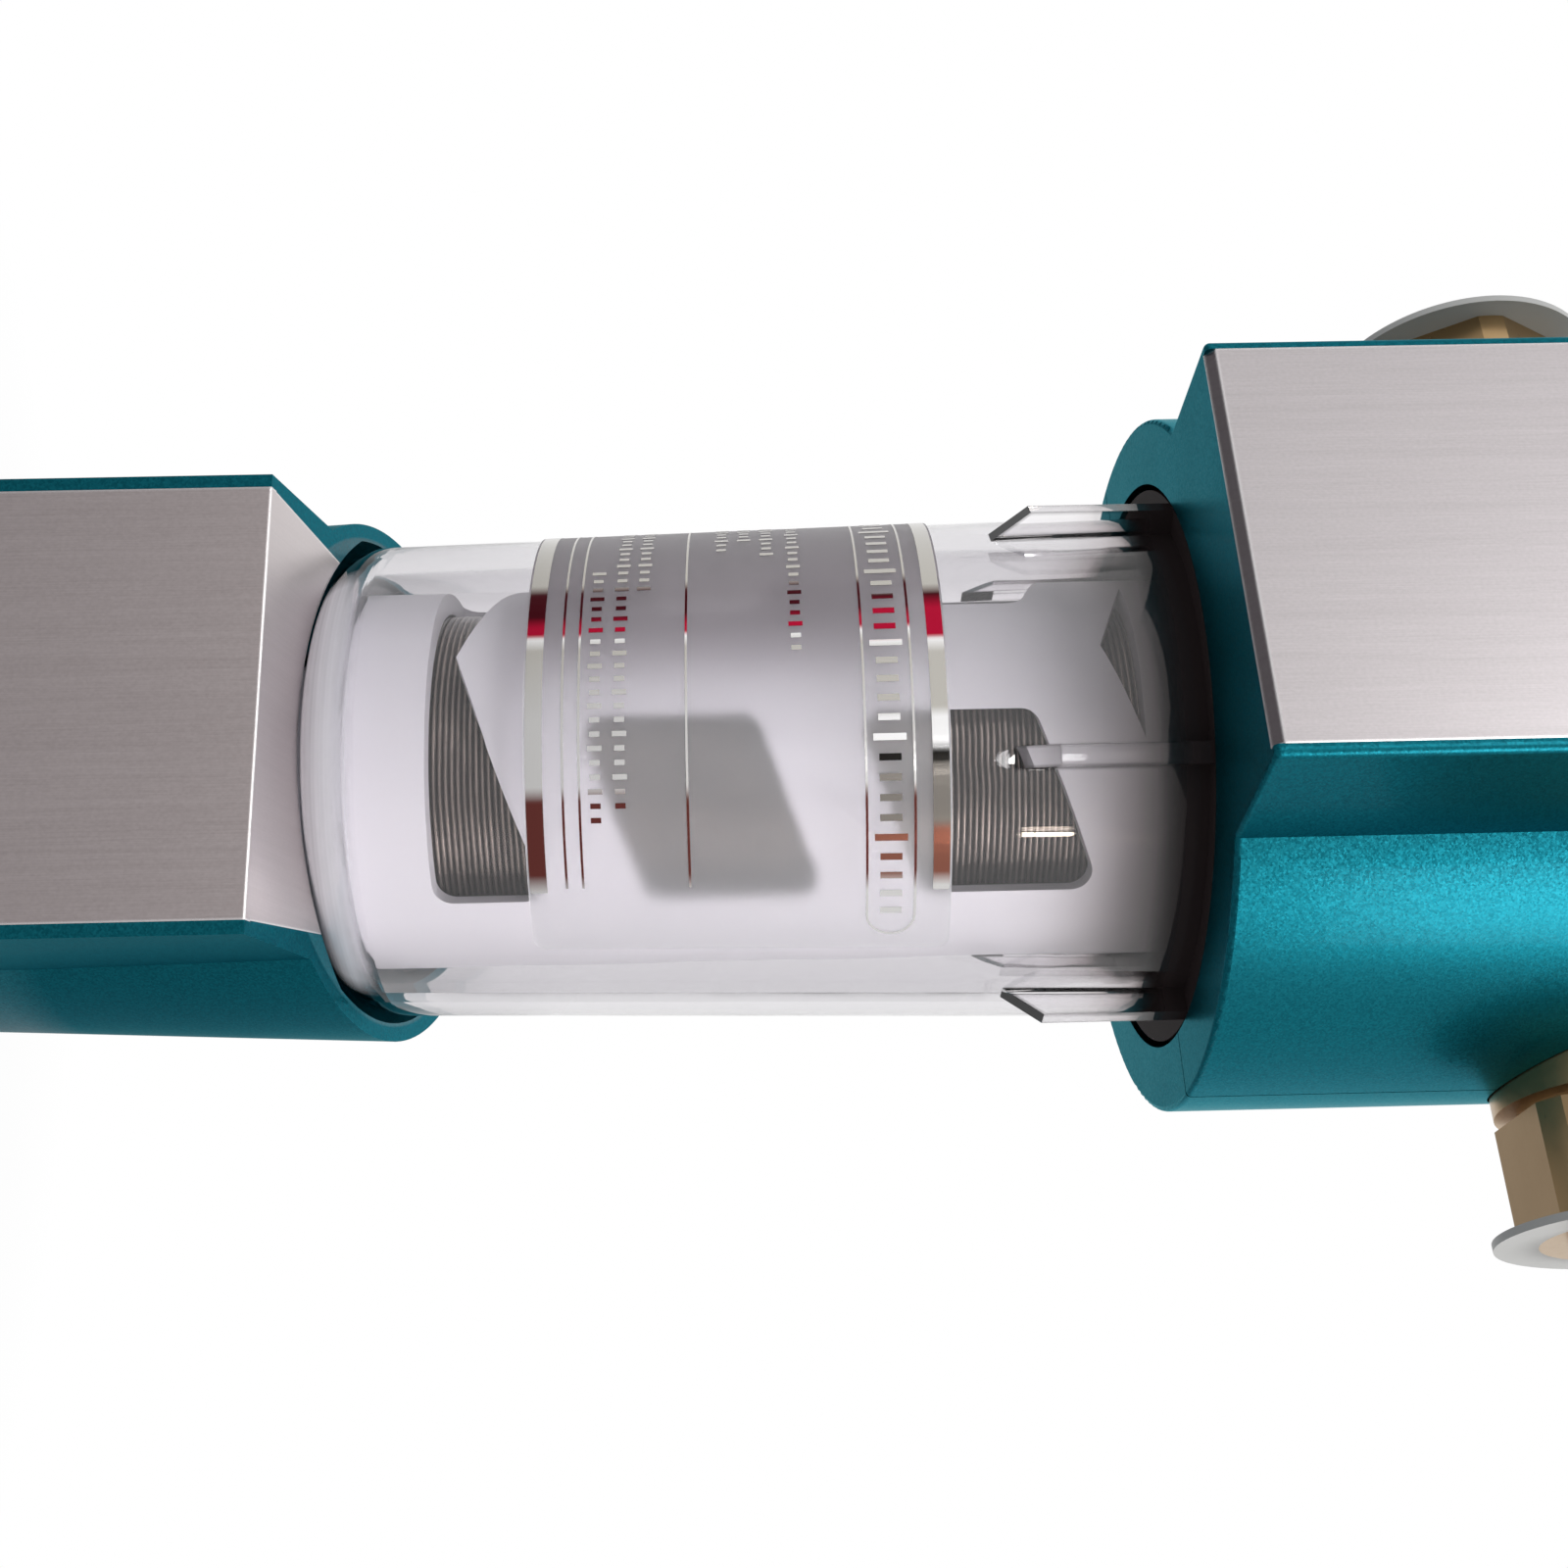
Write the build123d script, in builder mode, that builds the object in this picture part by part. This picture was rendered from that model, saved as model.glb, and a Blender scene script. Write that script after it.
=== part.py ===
from build123d import *
import os
from math import cos, radians, sin, sqrt

# Spin-down sediment filter, upright, in millimetres.
# The origin is the centre of the drain mouth, +Z runs up the cup axis, the front plates face -Y
# and the pipe runs along X. The inlet is at -X and the outlet at +X.

# Heights, each one a length from the last piece up
ball_z = 35.0
lever_clear = 1.5
web_rise = 27.0
stub_rise = 31.5
deck_drop = 2.1
cup_room_h = 128.5
label_rise = 30.1
label_fin_gap = 9.1
fin_h = 28.0
pipe_rise = 15.5
crown_room = 21.0

# Clear cup
cup_low_r = 38.7
cup_flare = 2.9
cup_wall = 4.3
cup_corner_r = 9.2
cup_flange_out = 4.1
cup_flange_h = 6.5
cup_flange_gap = 0.5
cup_thread_depth = 1.0
cup_thread_pitch = 5.0
cup_thread_turns = 3
cup_neck_h = 24.0
cup_stub_r = 22.0
cup_drain_r = 14.0
cup_drain_depth = 20.0
cup_funnel_r = 20.0
fin_out = 3.9
fin_t = 3.2
fin_slope = 6.0
fin_count = 6
fin_angle = 24.8
o_ring_section_r = 1.45
o_ring_drop = 6.0

# Cup socket and pipe tee
socket_gap = 0.3
socket_wall = 2.9
socket_room = 1.5
socket_top_t = 6.0
foot_r = 32.0
foot_gap = 0.1
foot_flange_out = 3.0
foot_flange_t = 5.0
neck_r = 31.0
neck_shoulder = 8.0
port_r = 20.0
port_thread_r = 16.6
port_thread_len = 9.0
port_out = 3.0
water_r = 12.0
stub_wall = 4.0
inlet_drop_r = 6.0
drop_wall = 1.0

# Head shells and front plate
head_wall = 3.0
head_room = 9.2
block_out = 10.3
block_half_front = 33.2
block_draft = 1.4
block_sink = 2.3
flange_clear = 1.0
head_edge_r = 3.0
lip_r = 1.2
head_plate_margin = 1.6
head_plate_t = 1.6
head_plate_top_gap = 7.0
plate_chamfer = 1.4
boss_clear = 0.6
boss_inset = 15.0
screw_r = 1.6
screw_head_r = 3.0
screw_head_h = 2.4
screw_seat_y = 14.0
screw_reach = 14.0
shell_gap = 0.3
seam_gap = 0.3
shell_edge_r = 0.8

# Unions
nut_flats = 37.0
nut_round_r = 20.2
nut_start = 1.5
nut_lip = 3.6
nut_gap = 0.1
ring_seat_r = 17.5
ring_r = 24.0
ring_t = 1.2
gasket_t = 2.0
tail_flange_gap = 1.0
tail_flange_t = 4.0
tail_r = 13.2
tail_len = 13.0
pipe_socket_r = 11.05
pipe_socket_len = 14.0
tail_bore_r = 9.5

# Cage and screen
cage_gap = 3.4
cage_wall = 3.4
cage_lift = 0.2
cage_edge = 2.0
cage_flange_t = 3.0
cage_top_in = 11.0
low_collar_h = 14.4
high_collar_drop = 6.5
column_angle = 36.5
column_half = 26.0
low_window_h = 12.8
rung_h = 14.6
top_rung_h = 11.4
window_slant = 5.0
window_corner_r = 3.0
notch_count = 8
notch_w = 7.0
notch_h = 1.6
screen_gap = 0.4
screen_t = 1.6
wire_pitch = 5.0
wire_h = 0.7
cap_t = 5.0
fit_gap = 0.2
seal_h = 2.0
seal_w = 2.5

# Label film
label_half_angle = 67.0
label_t = 0.25
label_gap = 0.08
label_corner_r = 2.0

# Base shell and plate, turned about the cup axis as in the photo
base_turn = 10.8
base_out = 3.7
base_draft = 2.6
base_wall = 2.5
base_front_out = 2.8
base_front_wall = 4.0
base_half = 34.3
base_slope = 0.2
base_open_gap = 1.2
base_plate_margin = 2.0
base_plate_t = 1.5
base_plate_back_half = 30.0
base_plate_back = 22.0
base_plate_arc_r = 46.6
base_plate_arc_out = 3.6
base_plate_low_gap = 6.0
web_t = 3.0
web_hole_gap = 0.3
deck_t = 3.0

# Drain valve
ball_r = 10.0
ball_bore_r = 6.5
ball_room = 1.0
valve_wall = 5.0
valve_below = 17.0
valve_flange_out = 4.0
valve_flange_t = 4.0
valve_gasket_t = 1.0
spigot_gap = 0.2
spigot_len = 17.0
seat_gap = 0.05
seat_h = 4.5
seat_margin = 2.0
stem_boss_out = 8.0
stem_boss_wall = 2.0
stem_r = 4.0
stem_gap = 0.1
stem_step = 1.0
stem_tip = 1.0
tang_t = 3.0
tang_depth = 2.5
packing_w = 2.0
packing_len = 5.0
lever_t = 3.0
lever_gap = 1.0
lever_hub_r = 8.5
lever_w = 11.0
lever_len = 60.0
grip_len = 36.0
grip_wall = 2.0
grip_edge_r = 1.2
lever_nut_flats = 10.0
lever_nut_t = 4.5
spout_hex_flats = 30.0
spout_hex_len = 7.0
spout_r = 8.0
spout_bore_r = 5.5
spout_gasket_t = 1.0

# Worked-out heights
base_bottom_z = ball_z + lever_hub_r + lever_clear
web_z = base_bottom_z + web_rise
web_top_z = web_z + web_t
cup_floor_z = web_top_z + stub_rise
cup_bottom_z = cup_floor_z - cup_wall
cup_corner_z = cup_bottom_z + cup_corner_r
ridge_z = cup_bottom_z - deck_drop
head_bottom_z = cup_floor_z + cup_room_h
flange_z = head_bottom_z + cup_flange_gap
neck_z = flange_z + cup_flange_h
cup_top_z = neck_z + cup_neck_h
fin_bottom_z = flange_z - fin_h
label_bottom_z = cup_floor_z + label_rise
label_top_z = fin_bottom_z - label_fin_gap
socket_z = neck_z + socket_gap
ceiling_z = cup_top_z + socket_room
foot_top_z = ceiling_z + socket_top_t
pipe_z = ceiling_z + pipe_rise + port_r
head_top_z = pipe_z + port_r + crown_room + head_wall
cage_bottom_z = cup_floor_z + cage_lift
cage_top_z = head_bottom_z + cage_top_in
cage_low_collar_z = cage_bottom_z + low_collar_h
cage_high_collar_z = head_bottom_z - high_collar_drop
screen_bottom_z = cage_bottom_z + cage_flange_t + cap_t
screen_top_z = cage_top_z - cage_flange_t - cap_t

# Worked-out widths
cup_high_r = cup_low_r + cup_flare
cup_corner_x = cup_low_r - cup_corner_r
cup_taper = cup_flare / (flange_z - cup_corner_z)
cup_flange_r = cup_high_r + cup_flange_out
cup_neck_r = cup_high_r - cup_thread_depth
fin_r = cup_high_r + fin_out
socket_r = cup_high_r + socket_gap
socket_out_r = socket_r + socket_wall
stub_r = water_r + stub_wall
head_r = socket_out_r + head_room + head_wall
block_front = head_r + block_out
block_half_root = block_half_front + block_draft
block_root = sqrt(head_r**2 - block_half_root**2) - block_sink
head_plate_half = block_half_front - head_plate_margin
boss_x = socket_out_r + head_room / 2
boss_r = head_room / 2 - boss_clear
port_x = head_r + port_out
thread_end_x = port_x + port_thread_len
cage_r = cup_low_r - cup_wall - cage_gap
cage_in_r = cage_r - cage_wall
screen_r = cage_in_r - screen_gap
base_r = cup_low_r + base_out
base_low_r = base_r - base_draft
base_front = base_r + base_front_out
base_open_r = cup_low_r + base_open_gap
base_plate_half = base_half - base_plate_margin
base_plate_arc_y = base_plate_arc_r - cup_corner_x - base_plate_arc_out
base_plane = Plane(origin=(0, 0, 0), x_dir=(cos(radians(base_turn)), sin(radians(base_turn)), 0))


def cup_r_at(z):
    """Outer radius of the tapered cup barrel at a height."""
    return cup_low_r + cup_taper * (z - cup_corner_z)


def base_level(z):
    """A level plane of the turned base."""
    return base_plane.offset(z)


def deck_plane(drop):
    """The slanted top of the base, or a plane parallel to it and lower by drop."""
    front = Vector(0, -base_front, ridge_z - drop).rotate(Axis.Z, base_turn)
    normal = Vector(0, -base_slope, 1).rotate(Axis.Z, base_turn)
    return Plane(origin=front, x_dir=base_plane.x_dir, z_dir=normal)


def radial_plane(angle):
    """The upright half plane through the cup axis at an angle from the front, +X side positive."""
    across = radians(angle)
    return Plane(origin=(0, 0, 0), x_dir=(sin(across), -cos(across), 0), z_dir=(-cos(across), -sin(across), 0))


def facing_plane(angle):
    """The upright plane through the cup axis that faces outward at an angle from the front."""
    across = radians(angle)
    return Plane(origin=(0, 0, 0), x_dir=(cos(across), sin(across), 0), z_dir=(sin(across), -cos(across), 0))


def pipe_level(x):
    """A plane square to the pipe axis at x."""
    return Plane(origin=(x, 0, pipe_z), x_dir=(0, 1, 0), z_dir=(1, 0, 0))


def stem_level(out):
    """A plane square to the valve stem, at a distance out from the cup axis."""
    origin = Vector(0, -out, ball_z).rotate(Axis.Z, base_turn)
    outward = Vector(0, -1, 0).rotate(Axis.Z, base_turn)
    return Plane(origin=origin, x_dir=base_plane.x_dir, z_dir=outward)


def head_section(z, inset):
    """Level section of the head: a round body with a straight-sided block in front."""
    with BuildSketch(Plane.XY.offset(z)) as section:
        Circle(head_r)
        with BuildLine():
            Polyline(
                (-block_half_root, -block_root),
                (-block_half_front, -block_front),
                (block_half_front, -block_front),
                (block_half_root, -block_root),
                close=True,
            )
        make_face()
        if inset:
            offset(amount=-inset)
    return section.sketch


os.makedirs("parts", exist_ok=True)

# Head shells
screw_places = [
    (x, z)
    for x in (-boss_x, boss_x)
    for z in (head_bottom_z + boss_inset, head_top_z - boss_inset)
]

with BuildPart() as head_cavity:
    inner_section = head_section(head_bottom_z + head_wall, head_wall)
    extrude(inner_section, amount=head_top_z - head_bottom_z - 2 * head_wall)
    with BuildSketch(Plane.XZ):
        with Locations(*screw_places):
            Circle(boss_r)
    extrude(amount=2 * head_r, both=True, mode=Mode.SUBTRACT)

with BuildPart() as head_shell:
    extrude(head_section(head_bottom_z, 0), amount=head_top_z - head_bottom_z)
    upright_edges = head_shell.edges().filter_by(Axis.Z)
    fillet(upright_edges.group_by(Axis.Y)[0], lip_r)
    fillet(head_shell.faces().sort_by(Axis.Z)[-1].edges(), head_edge_r)
    fillet(head_shell.faces().sort_by(Axis.Z)[0].edges(), shell_edge_r)
    add(head_cavity.part, mode=Mode.SUBTRACT)
    with BuildSketch(Plane.XY.offset(head_bottom_z)):
        Circle(cup_flange_r + flange_clear)
    extrude(amount=head_wall, mode=Mode.SUBTRACT)
    with BuildSketch(pipe_level(0)):
        Circle(port_r + shell_gap)
    extrude(amount=2 * head_r, both=True, mode=Mode.SUBTRACT)
    plate_h = head_top_z - head_plate_top_gap - head_bottom_z
    with BuildSketch(Plane.XZ.offset(block_front)):
        with Locations((0, head_bottom_z + plate_h / 2)):
            Rectangle(2 * head_plate_half, plate_h)
    extrude(amount=-head_plate_t, mode=Mode.SUBTRACT)

with BuildPart() as head_front_shell:
    add(head_shell.part)
    split(bisect_by=Plane.XZ.offset(seam_gap / 2), keep=Keep.TOP)
    with BuildSketch(Plane.XZ):
        with Locations(*screw_places):
            Circle(screw_r)
    extrude(amount=screw_reach, mode=Mode.SUBTRACT)
head_front_shell.part.label = "head_front_shell"

with BuildPart() as head_rear_shell:
    add(head_shell.part)
    split(bisect_by=Plane.XZ.offset(-seam_gap / 2), keep=Keep.BOTTOM)
    with BuildSketch(Plane.XZ):
        with Locations(*screw_places):
            Circle(screw_r + fit_gap)
    extrude(amount=-2 * head_r, mode=Mode.SUBTRACT)
    with BuildSketch(Plane.XZ.offset(-screw_seat_y)):
        with Locations(*screw_places):
            Circle(screw_head_r + fit_gap)
    extrude(amount=-2 * head_r, mode=Mode.SUBTRACT)
head_rear_shell.part.label = "head_rear_shell"

with BuildPart() as head_front_plate:
    with BuildSketch(Plane.XZ.offset(block_front)):
        with Locations((0, head_bottom_z + plate_h / 2)):
            Rectangle(2 * head_plate_half, plate_h)
    extrude(amount=-head_plate_t)
    lower_edge = head_front_plate.edges().filter_by(Axis.X).group_by(Axis.Z)[0].sort_by(Axis.Y)[0]
    chamfer(lower_edge, plate_chamfer)
head_front_plate.part.label = "head_front_plate"

with BuildPart() as head_screws:
    with BuildSketch(Plane.XZ.offset(-screw_seat_y)):
        with Locations(*screw_places):
            Circle(screw_head_r)
    extrude(amount=-screw_head_h)
    with BuildSketch(Plane.XZ.offset(-screw_seat_y)):
        with Locations(*screw_places):
            Circle(screw_r)
    extrude(amount=screw_seat_y + screw_reach)
head_screws.part.label = "head_screws"

# Cup socket: a collar that the cup screws into, closed above by a ring round the tee's foot
with BuildPart() as cup_socket:
    with BuildSketch(Plane.XY.offset(socket_z)):
        Circle(socket_out_r)
        Circle(socket_r, mode=Mode.SUBTRACT)
    extrude(amount=ceiling_z - socket_z)
    with BuildSketch(Plane.XY.offset(ceiling_z)):
        Circle(socket_out_r)
        Circle(foot_r + foot_gap, mode=Mode.SUBTRACT)
    extrude(amount=socket_top_t)
cup_socket.part.label = "cup_socket"

# Pipe tee: the foot screwed into the socket, the stub that feeds the outlet, and the two ports
inlet_drop_x = stub_r + inlet_drop_r + drop_wall
stub_low_z = screen_top_z
with BuildPart() as pipe_tee:
    with BuildSketch(Plane.XZ):
        with BuildLine():
            Polyline(
                (0, ceiling_z),
                (foot_r, ceiling_z),
                (foot_r, foot_top_z),
                (foot_r + foot_flange_out, foot_top_z),
                (foot_r + foot_flange_out, foot_top_z + foot_flange_t),
                (neck_r, foot_top_z + foot_flange_t),
                (neck_r, pipe_z - neck_shoulder),
                (neck_r - neck_shoulder, pipe_z),
                (0, pipe_z),
                close=True,
            )
        make_face()
    revolve(axis=Axis.Z)
    with BuildSketch(pipe_level(0)):
        Circle(port_r)
    extrude(amount=port_x, both=True)
    with BuildSketch(pipe_level(0)):
        Circle(port_thread_r)
    extrude(amount=thread_end_x, both=True)
    with BuildSketch(Plane.XY.offset(stub_low_z)):
        Circle(stub_r)
    extrude(amount=ceiling_z - stub_low_z)
    with BuildSketch(Plane.XY.offset(stub_low_z)):
        Circle(water_r)
    extrude(amount=pipe_z - stub_low_z, mode=Mode.SUBTRACT)
    with BuildSketch(pipe_level(0)):
        Circle(water_r)
    extrude(amount=thread_end_x, mode=Mode.SUBTRACT)
    with BuildSketch(pipe_level(-thread_end_x)):
        Circle(water_r)
    extrude(amount=thread_end_x - inlet_drop_x + inlet_drop_r, mode=Mode.SUBTRACT)
    with BuildSketch(Plane.XY.offset(ceiling_z)):
        with Locations((-inlet_drop_x, 0)):
            Circle(inlet_drop_r)
    extrude(amount=pipe_z - ceiling_z, mode=Mode.SUBTRACT)
pipe_tee.part.label = "pipe_tee"

# Unions, made at the outlet and mirrored to the inlet
nut_x = port_x + nut_start
tail_x = thread_end_x + gasket_t
tail_flange_x = tail_x + tail_flange_t
tail_flange_r = port_thread_r - tail_flange_gap
ring_x = tail_flange_x + nut_lip
tail_end_x = tail_flange_x + tail_len

with BuildPart() as outlet_nut:
    with BuildSketch(pipe_level(nut_x)):
        RegularPolygon(nut_flats / 2, 6, major_radius=False)
        Circle(nut_round_r, mode=Mode.INTERSECT)
    extrude(amount=ring_x - nut_x)
    with BuildSketch(pipe_level(ring_x)):
        Circle(ring_seat_r)
    extrude(amount=ring_t)
    with BuildSketch(pipe_level(nut_x)):
        Circle(port_thread_r + nut_gap)
    extrude(amount=tail_flange_x - nut_x, mode=Mode.SUBTRACT)
    with BuildSketch(pipe_level(nut_x)):
        Circle(tail_r + nut_gap)
    extrude(amount=ring_x + ring_t - nut_x, mode=Mode.SUBTRACT)
outlet_nut.part.label = "outlet_nut"

with BuildPart() as outlet_nut_ring:
    with BuildSketch(pipe_level(ring_x)):
        Circle(ring_r)
        Circle(ring_seat_r, mode=Mode.SUBTRACT)
    extrude(amount=ring_t)
outlet_nut_ring.part.label = "outlet_nut_ring"

with BuildPart() as outlet_gasket:
    with BuildSketch(pipe_level(thread_end_x)):
        Circle(tail_flange_r)
        Circle(water_r, mode=Mode.SUBTRACT)
    extrude(amount=gasket_t)
outlet_gasket.part.label = "outlet_gasket"

with BuildPart() as outlet_tail:
    with BuildSketch(pipe_level(tail_x)):
        Circle(tail_flange_r)
    extrude(amount=tail_flange_t)
    with BuildSketch(pipe_level(tail_flange_x)):
        Circle(tail_r)
    extrude(amount=tail_len)
    with BuildSketch(pipe_level(tail_x)):
        Circle(tail_bore_r)
    extrude(amount=tail_end_x - tail_x, mode=Mode.SUBTRACT)
    with BuildSketch(pipe_level(tail_end_x - pipe_socket_len)):
        Circle(pipe_socket_r)
    extrude(amount=pipe_socket_len, mode=Mode.SUBTRACT)
outlet_tail.part.label = "outlet_tail"

with BuildPart() as inlet_nut:
    mirror(outlet_nut.part, about=Plane.YZ)
inlet_nut.part.label = "inlet_nut"

with BuildPart() as inlet_nut_ring:
    mirror(outlet_nut_ring.part, about=Plane.YZ)
inlet_nut_ring.part.label = "inlet_nut_ring"

with BuildPart() as inlet_gasket:
    mirror(outlet_gasket.part, about=Plane.YZ)
inlet_gasket.part.label = "inlet_gasket"

with BuildPart() as inlet_tail:
    mirror(outlet_tail.part, about=Plane.YZ)
inlet_tail.part.label = "inlet_tail"

# Clear cup: tapered barrel, domed foot, drain stub, flange, threaded neck and wrench fins
o_ring_z = cup_top_z - o_ring_drop
groove_r = socket_r - 2 * o_ring_section_r - fit_gap
groove_half = o_ring_section_r + fit_gap
inner_corner_r = cup_corner_r - cup_wall
neck_bore_r = cup_r_at(flange_z) - cup_wall

with BuildPart() as cup:
    with BuildSketch(Plane.XZ):
        with BuildLine():
            Polyline(
                (cup_corner_x, cup_bottom_z),
                (cup_stub_r, cup_bottom_z),
                (cup_stub_r, web_top_z),
                (cup_drain_r, web_top_z),
                (cup_drain_r, web_top_z + cup_drain_depth),
                (cup_funnel_r, cup_floor_z),
                (cup_corner_x, cup_floor_z),
            )
            CenterArc((cup_corner_x, cup_corner_z), inner_corner_r, -90, 90)
            Polyline(
                (cup_corner_x + inner_corner_r, cup_corner_z),
                (neck_bore_r, flange_z),
                (neck_bore_r, cup_top_z),
                (cup_neck_r, cup_top_z),
                (cup_neck_r, o_ring_z + groove_half),
                (groove_r, o_ring_z + groove_half),
                (groove_r, o_ring_z - groove_half),
                (cup_neck_r, o_ring_z - groove_half),
                (cup_neck_r, neck_z),
                (cup_flange_r, neck_z),
                (cup_flange_r, flange_z),
                (cup_high_r, flange_z),
                (cup_low_r, cup_corner_z),
            )
            CenterArc((cup_corner_x, cup_corner_z), cup_corner_r, -90, 90)
        make_face()
    revolve(axis=Axis.Z)
    with BuildSketch(Plane.XZ):
        for turn in range(cup_thread_turns):
            crest_z = neck_z + cup_thread_pitch * (turn + 0.6)
            with BuildLine():
                Polyline(
                    (cup_neck_r - cup_thread_depth, crest_z - 2 * cup_thread_depth),
                    (cup_high_r, crest_z),
                    (cup_neck_r - cup_thread_depth, crest_z + 2 * cup_thread_depth),
                    close=True,
                )
            make_face()
    revolve(axis=Axis.Z)
    for turn in range(fin_count):
        with BuildSketch(radial_plane(fin_angle + turn * 360 / fin_count)):
            with BuildLine():
                Polyline(
                    (cup_r_at(fin_bottom_z) - fin_t / 2, fin_bottom_z),
                    (cup_r_at(fin_bottom_z), fin_bottom_z),
                    (fin_r, fin_bottom_z + fin_slope),
                    (fin_r, flange_z),
                    (cup_r_at(fin_bottom_z) - fin_t / 2, flange_z),
                    close=True,
                )
            make_face()
        extrude(amount=fin_t / 2, both=True)
cup.part.label = "cup"

with BuildPart() as cup_o_ring:
    with BuildSketch(Plane.XZ):
        with Locations((groove_r + fit_gap / 2 + o_ring_section_r, o_ring_z)):
            Circle(o_ring_section_r)
    revolve(axis=Axis.Z)
cup_o_ring.part.label = "cup_o_ring"

# Cage: round collars joined by four ribs, with slanted windows that mirror from column to column
low_edge = cage_low_collar_z + low_window_h
window_h = (cage_high_collar_z - top_rung_h - low_edge - 2 * rung_h) / 2
window_pitch = window_h + rung_h
window_first_z = low_edge + rung_h + window_h / 2
window_half_u = cage_r * sin(radians(column_half))
rib_half = 45 - column_half
slant_per_degree = window_slant / column_half
rib_low_z = low_edge - window_slant - slant_per_degree * rib_half
rib_high_z = window_first_z + 2 * window_pitch - window_h / 2 - window_slant - slant_per_degree * rib_half
gate_half_angle = (cage_high_collar_z - rib_high_z) / slant_per_degree
gate_half_u = cage_r * sin(radians(gate_half_angle))

with BuildPart() as filter_cage:
    with BuildSketch(Plane.XZ):
        with BuildLine():
            Polyline(
                (cup_stub_r, cage_bottom_z),
                (cage_r - cage_edge, cage_bottom_z),
                (cage_r, cage_bottom_z + cage_edge),
                (cage_r, cage_top_z),
                (stub_r + fit_gap, cage_top_z),
                (stub_r + fit_gap, cage_top_z - cage_flange_t),
                (cage_in_r, cage_top_z - cage_flange_t),
                (cage_in_r, cage_bottom_z + cage_flange_t),
                (cup_stub_r, cage_bottom_z + cage_flange_t),
                close=True,
            )
        make_face()
    revolve(axis=Axis.Z)
    for column in range(4):
        lean = window_slant if column % 2 == 0 else -window_slant
        column_plane = facing_plane(column_angle + 90 * column)
        with BuildSketch(column_plane) as windows:
            for row in range(2):
                middle = window_first_z + row * window_pitch
                with BuildLine():
                    Polyline(
                        (-window_half_u, middle - window_h / 2 - lean),
                        (window_half_u, middle - window_h / 2 + lean),
                        (window_half_u, middle + window_h / 2 + lean),
                        (-window_half_u, middle + window_h / 2 - lean),
                        close=True,
                    )
                make_face()
            with BuildLine():
                Polyline(
                    (-window_half_u, cage_low_collar_z),
                    (window_half_u, cage_low_collar_z),
                    (window_half_u, low_edge + lean),
                    (-window_half_u, low_edge - lean),
                    close=True,
                )
            make_face()
            fillet(windows.vertices(), window_corner_r)
        extrude(amount=2 * cage_r, mode=Mode.SUBTRACT)
    for side in (0, 180):
        with BuildSketch(facing_plane(column_angle - 45 + side)):
            with BuildLine():
                Polyline(
                    (-window_half_u, cage_low_collar_z),
                    (window_half_u, cage_low_collar_z),
                    (window_half_u, rib_low_z + window_slant),
                    (0, rib_low_z),
                    (-window_half_u, rib_low_z + window_slant),
                    close=True,
                )
            make_face()
            with BuildLine():
                Polyline(
                    (-gate_half_u, cage_high_collar_z),
                    (0, rib_high_z),
                    (gate_half_u, cage_high_collar_z),
                    close=True,
                )
            make_face()
        extrude(amount=2 * cage_r, mode=Mode.SUBTRACT)
    with BuildSketch(Plane.XY.offset(cage_bottom_z)):
        with PolarLocations(cage_r, notch_count):
            Rectangle(2 * cage_wall, notch_w)
    extrude(amount=notch_h, mode=Mode.SUBTRACT)
filter_cage.part.label = "filter_cage"

# Screen: a sleeve of wire wrap, each ridge standing for a band of fine turns
wire_turns = round((screen_top_z - screen_bottom_z) / wire_pitch)
wire_step = (screen_top_z - screen_bottom_z) / wire_turns
wire_profile = [(screen_r - screen_t, screen_top_z), (screen_r - screen_t, screen_bottom_z)]
for turn in range(wire_turns):
    wire_profile.append((screen_r - wire_h, screen_bottom_z + turn * wire_step))
    wire_profile.append((screen_r, screen_bottom_z + (turn + 0.5) * wire_step))
wire_profile.append((screen_r - wire_h, screen_top_z))

with BuildPart() as screen:
    with BuildSketch(Plane.XZ):
        with BuildLine():
            Polyline(*wire_profile, close=True)
        make_face()
    revolve(axis=Axis.Z)
screen.part.label = "screen"

with BuildPart() as screen_lower_cap:
    with BuildSketch(Plane.XY.offset(cage_bottom_z + cage_flange_t)):
        Circle(cage_in_r - fit_gap)
    extrude(amount=cap_t)
screen_lower_cap.part.label = "screen_lower_cap"

seal_z = screen_top_z + cap_t / 2
with BuildPart() as screen_upper_cap:
    with BuildSketch(Plane.XY.offset(screen_top_z)):
        Circle(cage_in_r - fit_gap)
        Circle(stub_r + fit_gap, mode=Mode.SUBTRACT)
    extrude(amount=cap_t)
    with BuildSketch(Plane.XY.offset(seal_z - seal_h / 2)):
        Circle(stub_r + seal_w)
    extrude(amount=seal_h, mode=Mode.SUBTRACT)
screen_upper_cap.part.label = "screen_upper_cap"

with BuildPart() as cage_seal:
    with BuildSketch(Plane.XY.offset(seal_z - seal_h / 2)):
        Circle(stub_r + seal_w)
        Circle(stub_r, mode=Mode.SUBTRACT)
    extrude(amount=seal_h)
cage_seal.part.label = "cage_seal"

# Label film, wrapped on the tapered cup
label_low_r = cup_r_at(label_bottom_z) + label_gap
label_high_r = cup_r_at(label_top_z) + label_gap
with BuildPart() as label:
    with BuildSketch(radial_plane(-label_half_angle)):
        with BuildLine():
            Polyline(
                (label_low_r, label_bottom_z),
                (label_low_r + label_t, label_bottom_z),
                (label_high_r + label_t, label_top_z),
                (label_high_r, label_top_z),
                close=True,
            )
        make_face()
    revolve(axis=Axis.Z, revolution_arc=2 * label_half_angle)
    short_edges = label.edges().filter_by(lambda edge: edge.length < 2 * label_t)
    fillet(short_edges, label_corner_r)
label.part.label = "label"

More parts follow.
